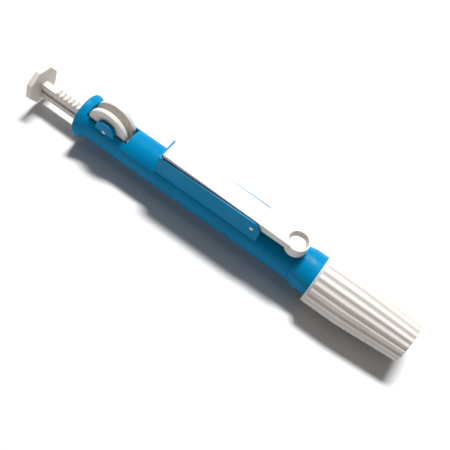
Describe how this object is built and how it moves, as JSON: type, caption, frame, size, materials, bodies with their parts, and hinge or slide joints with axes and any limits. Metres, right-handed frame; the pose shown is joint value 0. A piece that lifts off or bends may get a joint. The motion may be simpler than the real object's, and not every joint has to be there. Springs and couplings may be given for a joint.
{
  "type": "pipette pump",
  "caption": "Hand pump for glass pipettes with a thumbwheel-driven toothed plunger, a spring release lever that opens an air valve, and a ribbed chuck with a soft pipette socket.",
  "frame": {"origin": "centre of the pipette socket's mouth, on the barrel axis", "axes": "+X out of the pipette socket, along the barrel axis, so the thumb knob is at the -X end; +Z towards the lever and the thumbwheel; the pump lies on its side along X"},
  "size_m": [0.2038, 0.0254, 0.03],
  "materials": {
    "blue_plastic": "moulded, semi-gloss",
    "white_plastic": "moulded, satin",
    "ivory_plastic": "moulded, matte",
    "steel": "bright drawn",
    "black_rubber": "matte",
    "silicone": "soft matte"
  },
  "bodies": {
    "body": {"barrel": "blue_plastic", "nose_collar": "blue_plastic", "end_cap": "blue_plastic", "lever_housing": "blue_plastic", "wheel_axle": "white_plastic", "friction_washers": "black_rubber", "lever_pin": "steel", "lever_spring": "steel", "chuck": "white_plastic", "pipette_grip": "silicone", "chuck_o_ring": "black_rubber"},
    "plunger": {"rack": "ivory_plastic", "thumb_knob": "white_plastic", "piston_head": "white_plastic", "piston_seal": "black_rubber"},
    "thumbwheel": {"drive_gear": "ivory_plastic", "wheel_disc_front": "white_plastic", "wheel_disc_back": "white_plastic"},
    "release_lever": {"lever": "white_plastic", "valve_pad": "black_rubber"}
  },
  "joints": [
    {"name": "plunger_slide", "type": "slide", "parent": "body", "child": "plunger", "axis": [-1, 0, 0], "range_m": [-0.0235, 0.0345]},
    {"name": "wheel_spin", "type": "hinge", "parent": "body", "child": "thumbwheel", "pos_m": [-0.1614, 0, 0.006], "axis": [0, 1, 0], "range_deg": [-426, 624]},
    {"name": "lever_press", "type": "hinge", "parent": "body", "child": "release_lever", "pos_m": [-0.0821, 0, 0.0109], "axis": [0, -1, 0], "range_deg": [0, 6], "stiffness_Nm_per_rad": 0.15, "springref_deg": -2.86, "deforming": ["lever_spring"]}
  ],
  "couplings": [
    {"joint": "wheel_spin", "follows": "plunger_slide", "rad_per_m": 312.5}
  ]
}
